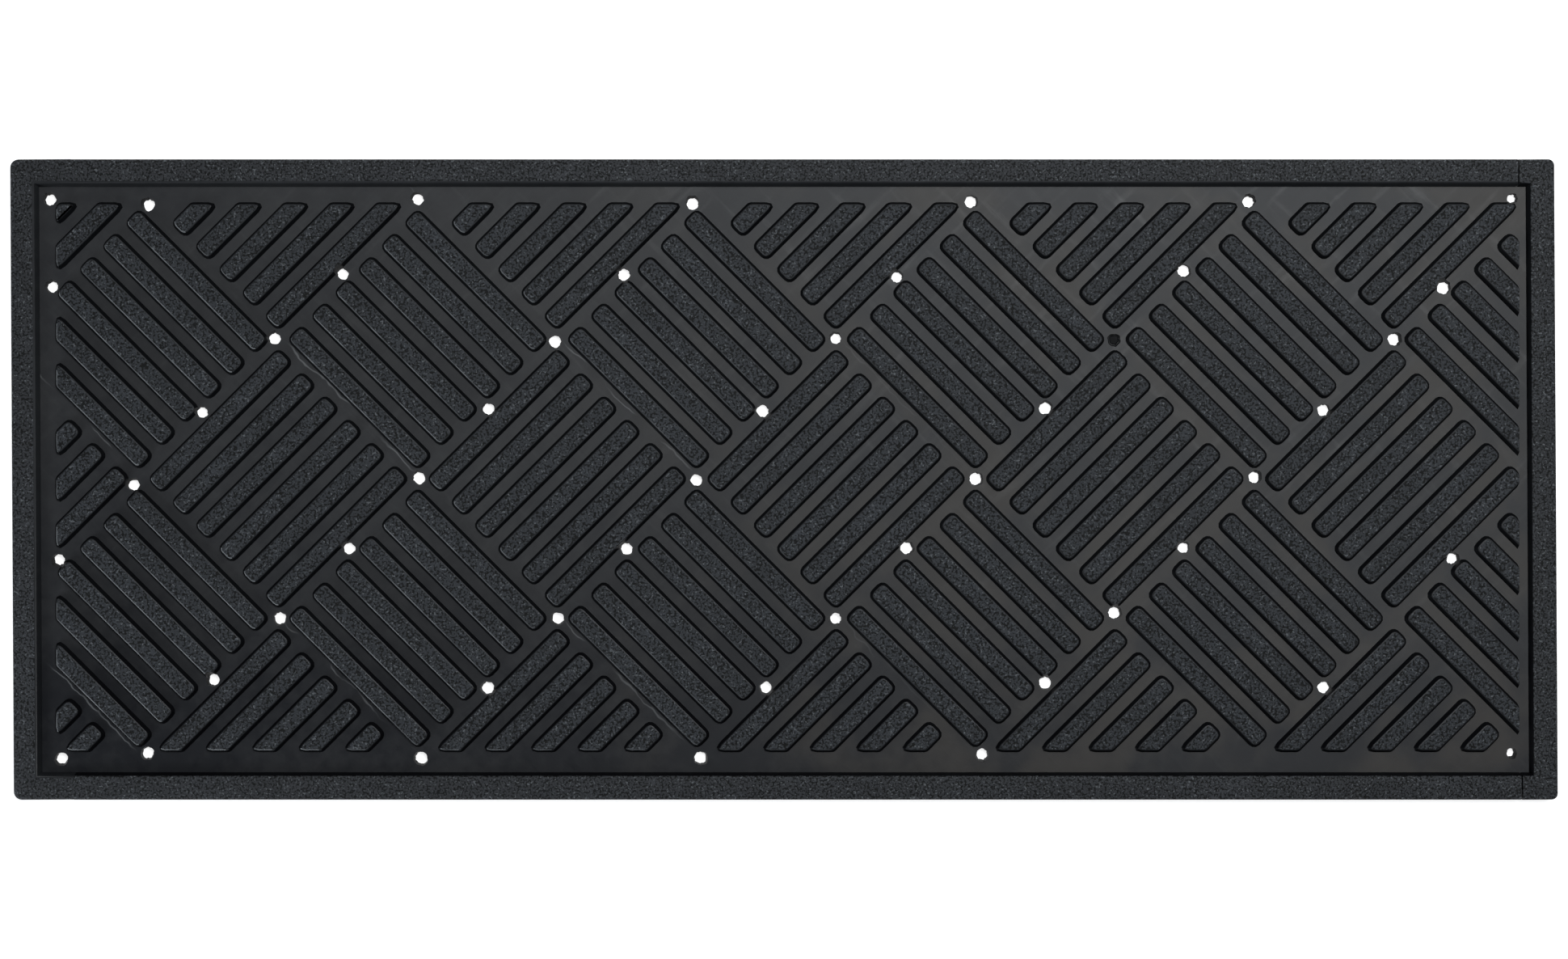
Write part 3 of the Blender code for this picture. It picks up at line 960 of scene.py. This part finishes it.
# %% Name the bar's sizes
BARS_PER_BLOCK = 6
BAR_PITCH = BLOCK_SIDE / BARS_PER_BLOCK
BAR_WIDTH = 9.6 * MILLIMETRE
BAR_LENGTH = (BARS_PER_BLOCK - 1) * BAR_PITCH + BAR_WIDTH
BAR_CORNER = 3.5 * MILLIMETRE
CUT_CORNER = 3.2 * MILLIMETRE
CORNER_SHARE = 0.45
RADIUS_SHARE = 0.95
WIDTH_SHARE = 0.75
BAR_LEAN = 1.2 * MILLIMETRE
BAR_ROUND = 0.55 * MILLIMETRE
FLAT_RING = 0.25 * MILLIMETRE
CLOSE_CORNERS = 1.8 * MILLIMETRE
SMALLEST_SPAN = 6.5 * MILLIMETRE
SLAB_LOW = TRAY_Z - WEB_THICKNESS / 2
WALL_HEIGHT = BAR_TOP_Z - TRAY_Z - BAR_ROUND

BAR_PROFILE = [(BAR_LEAN, WALL_HEIGHT), *rounding(BAR_ROUND, 2), (FLAT_RING, 0.0)]
PROFILE_RUN = sum(inwards for inwards, upwards in BAR_PROFILE)
foot_spread = Vector((BAR_LEAN / 2, BAR_LEAN / 2))
TRIM_LOW = FIELD_LOW + Vector((WEB_EDGE, WEB_EDGE)) - foot_spread
TRIM_HIGH = FIELD_HIGH - Vector((WEB_EDGE, WEB_EDGE)) + foot_spread
SHARP_END_X = FIELD_HIGH.x - WEB_EDGE
SHARP_END_SLACK = Vector((6 * MILLIMETRE, 0))


# %% Round the corners of a flat outline
def corners_of(piece):
    """Each corner of a flat face: its place, its angle, and its shorter side."""
    face = piece.data.polygons[0]
    points = [piece.data.vertices[index].co.copy() for index in face.vertices]
    for number, point in enumerate(points):
        before, after = points[number - 1] - point, points[(number + 1) % len(points)] - point
        yield point, before.angle(after), min(before.length, after.length)


def round_corners(piece):
    """Bevels each vertex so that its rounding has the right radius, and returns the smallest."""
    smallest = BAR_CORNER
    for point, angle, shorter in list(corners_of(piece)):
        square = abs(math.degrees(angle) - 90) < 5
        radius = BAR_CORNER if square else CUT_CORNER
        slope = math.tan(angle / 2)
        back = min(radius / slope, CORNER_SHARE * shorter)
        smallest = min(smallest, back * slope)
        start_edit(piece)
        choose("VERT", lambda vertex: (vertex.co - point).length < SAME_PLACE)
        bpy.ops.mesh.bevel(offset=back, segments=3, affect="VERTICES", clamp_overlap=False)
        end_edit()
    return smallest


# %% Model one bar
def flat_bar(degrees, centre):
    """The foot of a bar as a flat face, turned and in place."""
    size = (BAR_LENGTH + BAR_LEAN, BAR_WIDTH + BAR_LEAN, 1)
    bpy.ops.object.select_all(action="DESELECT")
    bpy.ops.mesh.primitive_plane_add(
        size=1, location=(centre.x, centre.y, SLAB_LOW), rotation=(0, 0, math.radians(degrees))
    )
    bpy.context.object.scale = size
    return settle(bpy.context.object)


def raise_bar(bar):
    """Rounds the corners of the flat bar and lets it climb, less far inwards where it is narrow."""
    radius = round_corners(bar)
    face = bar.data.polygons[0]
    rim = [bar.data.vertices[index].co for index in face.vertices]
    around = sum((a - b).length for a, b in zip(rim, rim[1:] + rim[:1]))
    narrowest = 2 * face.area / around
    share = min(1.0, RADIUS_SHARE * radius / PROFILE_RUN, WIDTH_SHARE * narrowest / PROFILE_RUN)
    start_edit(bar)
    bpy.ops.mesh.select_all(action="SELECT")
    bpy.ops.mesh.extrude_region_move(TRANSFORM_OT_translate={"value": (0, 0, TRAY_Z - SLAB_LOW)})
    climb([(inwards * share, upwards) for inwards, upwards in BAR_PROFILE])
    turn_outwards()
    end_edit()
    return bar


whole_bars = {turn: raise_bar(flat_bar(turn, Vector((0, 0)))) for turn in (-45, 45)}
print("a whole bar has", len(whole_bars[45].data.polygons), "faces")

# %% [markdown]
# ## The tread blocks
# Six bars on a thin square web make a block, and the direction changes from block to block. The
# web is cut to the field like the bars are. Bars and web become one closed shape with a Boolean
# union, and the drain holes are cut last. The faces get their finish by height: the web is smooth
# like the sheet, the walls are near black as painted shade, the tops are grained, and of the
# roundings between them those that face the front left get a pale painted highlight.


# %% Make the bars and the web of a block
def bar_centres(i, j, turn):
    """The middles of a block's bars, side by side."""
    middle = lattice(i, j)
    across = Vector((-math.sin(turn), math.cos(turn)))
    for number in range(BARS_PER_BLOCK):
        yield middle + across * (number - (BARS_PER_BLOCK - 1) / 2) * BAR_PITCH


def spans(piece):
    """The size of a piece along X and along Y."""
    places = [vertex.co for vertex in piece.data.vertices]
    return [max(p[axis] for p in places) - min(p[axis] for p in places) for axis in (0, 1)]


def too_small(bar):
    """Removes a bar of which too little is left, and says so."""
    if bar.data.polygons and min(spans(bar)) >= SMALLEST_SPAN:
        return False
    bpy.data.objects.remove(bar)
    return True


def cut_bar(degrees, centre):
    """A bar cut to the field while it is flat, or nothing where too little of it is left."""
    bar = flat_bar(degrees, centre)
    start_edit(bar)
    cut_off(TRIM_LOW, TRIM_HIGH + SHARP_END_SLACK, fill=False)
    bpy.ops.mesh.select_all(action="SELECT")
    bpy.ops.mesh.remove_doubles(threshold=CLOSE_CORNERS)
    end_edit()
    if too_small(bar):
        return None
    raise_bar(bar)
    start_edit(bar)
    cut_off(Vector((-FAR, -FAR)), Vector((SHARP_END_X, FAR)))
    end_edit()
    return None if too_small(bar) else bar


def make_bars(i, j):
    """The bars of one block: copies of a whole bar, and cut ones at the edges of the field."""
    degrees = -45 if j % 2 else 45
    reach = Vector((1, 1)) * (BAR_LENGTH + BAR_WIDTH + 2 * BAR_LEAN) / 2 / math.sqrt(2)
    made = []
    for centre in bar_centres(i, j, math.radians(degrees)):
        low, high = centre - reach, centre + reach
        if any(low[axis] > TRIM_HIGH[axis] or high[axis] < TRIM_LOW[axis] for axis in (0, 1)):
            continue
        if all(low[axis] > TRIM_LOW[axis] and high[axis] < TRIM_HIGH[axis] for axis in (0, 1)):
            made.append(copy_of(whole_bars[degrees], "bar", (centre.x, centre.y, 0)))
        else:
            made.append(cut_bar(degrees, centre))
    return [bar for bar in made if bar]


def make_web(i, j):
    """The thin square under the bars, cut to the field."""
    centre = lattice(i, j)
    half = BLOCK_SIDE / 2
    low = Vector((centre.x - half, centre.y - half, TRAY_Z - WEB_THICKNESS))
    high = Vector((centre.x + half, centre.y + half, TRAY_Z))
    web = box_piece("web", low, high, math.radians(45))
    start_edit(web)
    cut_off(FIELD_LOW, FIELD_HIGH)
    turn_outwards()
    end_edit()
    return web


# %% Finish and ride every block
# Roundings turned this far to the front left get the painted highlight.
HIGHLIGHT_TURN = 0.35
DIMPLE_NEAR = 1.1 * HALF_DIAGONAL


def level(face):
    """0 for the web, 1 for a bar's wall, 2 for its rounding, 3 for its top, 4 for an edge with a
    painted highlight.
    """
    if face.center.z < TRAY_Z - SAME_HEIGHT:
        return hole_wall(face)
    limits = (TRAY_Z + SAME_HEIGHT, BAR_TOP_Z - BAR_ROUND, BAR_TOP_Z - SAME_HEIGHT)
    height = sum(face.center.z > limit for limit in limits)
    towards_front_left = -face.normal.x - face.normal.y
    return 4 if height == 2 and towards_front_left > HIGHLIGHT_TURN else height


bar_count = 0
for node in BLOCK_NODES:
    i, j = lattice_place(node)
    block = make_web(i, j)
    block.name = node.replace("tread_block", "block")
    bars = make_bars(i, j)
    bar_count += len(bars)
    if bars:
        bars = joined(bars, "bars")
        combine(block, bars, "UNION")
        bpy.data.objects.remove(bars)
    combine(block, through_holes, "DIFFERENCE")
    if math.dist(lattice(i, j), lattice(*BLIND_NODE)) < DIMPLE_NEAR:
        combine(block, blind_hole, "DIFFERENCE")
    # Walls get the near-black painted shade, and front-left roundings the painted highlight.
    dress(block, (sheet_finish, painted_shade_finish, rim_finish, bar_finish, painted_edge_highlight_finish), level)
    smooth(block)
    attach(block, "root")
    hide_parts(node)
for spare in (through_holes, blind_hole, *whole_bars.values()):
    bpy.data.objects.remove(spare)
print(bar_count, "bars on", len(BLOCK_NODES), "blocks")

# %% [markdown]
# ## Floor and backdrop
# The mat lies on a plain white floor, inside a tall pale cylinder that hides the horizon when the
# mat is seen from low down. Both glow a little, so that they stay white under a soft light. The
# backdrop is there for the camera only: it lights nothing and isn't reflected.

# %% Make the floor and the backdrop
FLOOR_SIZE = 60
BACKDROP_RADIUS = 28
BACKDROP_HEIGHT = 40
STAGE_WHITES = (0.86, 0.86, 0.86, 1), (0.90, 0.90, 0.90, 1)


def dress_stage(piece, blotch, glow):
    """Gives a stage object a white finish, and marks it as no part of the mat."""
    finish = Finish(f"pale_{piece.name}")
    finish.set(
        Base_Color=finish.mix(finish.noise(blotch, finish.place()), *STAGE_WHITES),
        Roughness=0.9,
        Emission_Color=(1, 1, 1, 1),
        Emission_Strength=glow,
    )
    piece.data.materials.append(finish.material)
    piece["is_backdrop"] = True


bpy.ops.object.select_all(action="DESELECT")
bpy.ops.mesh.primitive_plane_add(size=FLOOR_SIZE, location=(0, 0, FLOOR_Z))
floor = bpy.context.object
floor.name = "floor"
dress_stage(floor, blotch=0.5, glow=0.75)

bpy.ops.mesh.primitive_cylinder_add(
    vertices=64,
    radius=BACKDROP_RADIUS,
    depth=BACKDROP_HEIGHT,
    end_fill_type="NOTHING",
    location=(0, 0, FLOOR_Z + BACKDROP_HEIGHT / 2),
)
backdrop = bpy.context.object
backdrop.name = "backdrop"
backdrop.visible_diffuse = False
backdrop.visible_glossy = False
dress_stage(backdrop, blotch=20, glow=0.80)
print("a floor and a backdrop")

# %% [markdown]
# ## Light
# A large soft light hangs above the mat, to the right and behind, so that the smooth channels
# brighten towards the back right and each bar has a dark wall at its front left. A small weak light
# lies low at the front left and adds a little to the thin bright lines that are painted along the
# edges there. The world adds a faint even light.


# %% Make the lights
def soft_light(name, place, target, size, watts, colour):
    """A rectangular light that points at a target and isn't seen itself."""
    data = bpy.data.lights.new(name, "AREA")
    data.shape = "RECTANGLE"
    data.size, data.size_y = size
    data.energy = watts
    data.color = colour
    lamp = bpy.data.objects.new(name, data)
    bpy.context.scene.collection.objects.link(lamp)
    lamp.location = place
    lamp.visible_camera = False
    lamp.rotation_euler = (Vector(target) - Vector(place)).to_track_quat("-Z", "Y").to_euler()


soft_light(
    "overhead",
    place=(0.38, 0.55, 1.6),
    target=(0.15, 0.12, 0),
    size=(1.3, 0.8),
    watts=20,
    colour=(0.95, 0.98, 1.0),
)
soft_light(
    "low_front_left",
    place=(-0.95, -0.75, 0.40),
    target=(-0.2, 0, 0),
    size=(0.7, 0.3),
    watts=5,
    colour=(0.88, 0.94, 1.0),
)
world = bpy.data.worlds.new("studio")
bpy.context.scene.world = world
world.use_nodes = True
background = world.node_tree.nodes["Background"]
background.inputs["Color"].default_value = (0.9, 0.92, 0.95, 1)
background.inputs["Strength"].default_value = 0.10
print("two soft lights")

# %% [markdown]
# ## Camera
# The camera looks straight down on the middle of the mat, which a camera does when it isn't turned.
# It hangs a little over a metre up, so the walls near the ends lean outwards as they do to the eye.
# Its height follows from the lens and from the width that it takes in.

# %% Make the camera
LENS = 56.0
SENSOR = 36.0
SEEN_WIDTH = 0.7618
camera_height = SEEN_WIDTH * LENS / SENSOR
camera_data = bpy.data.cameras.new("camera")
camera_data.lens = LENS
camera_data.sensor_width = SENSOR
camera = bpy.data.objects.new("camera", camera_data)
bpy.context.scene.collection.objects.link(camera)
camera.location = (0, 0, BAR_TOP_Z + camera_height)
bpy.context.scene.camera = camera
bpy.context.scene.view_settings.view_transform = "Standard"
print(f"camera {camera_height:.3f} m above the bars")

# %% Finish
low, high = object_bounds()
print("visual size in mm", [round(1000 * side, 2) for side in high - low])
